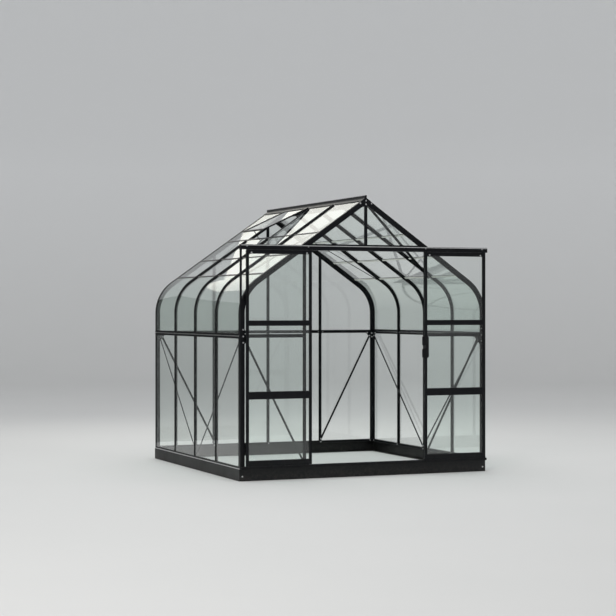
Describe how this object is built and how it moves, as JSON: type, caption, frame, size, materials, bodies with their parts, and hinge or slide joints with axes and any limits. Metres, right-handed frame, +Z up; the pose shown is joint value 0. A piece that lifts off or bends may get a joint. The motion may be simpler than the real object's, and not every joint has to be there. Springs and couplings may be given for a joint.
{
  "type": "glass greenhouse with curved eaves and sliding doors",
  "caption": "Free-standing glass greenhouse in a black aluminium frame, with curved eaves, a pitched roof with an open vent, and a pair of sliding doors in the front gable.",
  "frame": {"origin": "on the ground, at the middle of the overall plan, door gear included", "axes": "+X to the right seen from the doors, +Y from the door gable to the back gable, +Z up"},
  "size_m": [2.57, 2.632, 2.67],
  "materials": {
    "frame": "satin",
    "base": "satin",
    "glass": "gloss",
    "clear_panel": "gloss",
    "handle": "matte",
    "roller": "satin"
  },
  "bodies": {
    "house": {"apex_plates": "frame", "back_base": "base", "back_gable_glass": "glass", "back_left_corner_bar": "frame", "back_mid_rails": "frame", "back_right_corner_bar": "frame", "back_sill": "frame", "back_uprights": "frame", "corner_gussets": "frame", "door_guide": "frame", "door_head_rail": "frame", "door_jambs": "frame", "door_track": "frame", "front_base": "base", "front_gable_glass": "glass", "front_king_post": "frame", "front_left_corner_bar": "frame", "front_mid_rails": "frame", "front_right_corner_bar": "frame", "front_sill": "frame", "gable_braces": "frame", "left_base": "base", "left_curved_bars": "frame", "left_curved_panels": "clear_panel", "left_mid_rail": "frame", "left_roof_glass": "glass", "left_roof_strips": "frame", "left_sill": "frame", "left_wall_glass": "glass", "ridge_beam": "frame", "ridge_cap": "frame", "right_base": "base", "right_curved_bars": "frame", "right_curved_panels": "clear_panel", "right_mid_rail": "frame", "right_roof_glass": "glass", "right_roof_strips": "frame", "right_sill": "frame", "right_wall_glass": "glass", "roof_braces": "frame", "side_wall_braces": "frame", "track_end_posts": "frame", "vent_frame": "frame", "vent_glass": "glass", "vent_stay": "frame"},
    "left_door": {"left_door_frame": "frame", "left_door_glass": "glass", "left_door_handle": "handle", "left_door_hangers": "roller"},
    "right_door": {"right_door_frame": "frame", "right_door_glass": "glass", "right_door_handle": "handle", "right_door_hangers": "roller"}
  },
  "joints": [
    {"name": "left_door_slide", "type": "slide", "parent": "house", "child": "left_door", "axis": [1, 0, 0], "range_m": [0, 0.571]},
    {"name": "right_door_slide", "type": "slide", "parent": "house", "child": "right_door", "axis": [-1, 0, 0], "range_m": [0, 0.605]}
  ]
}
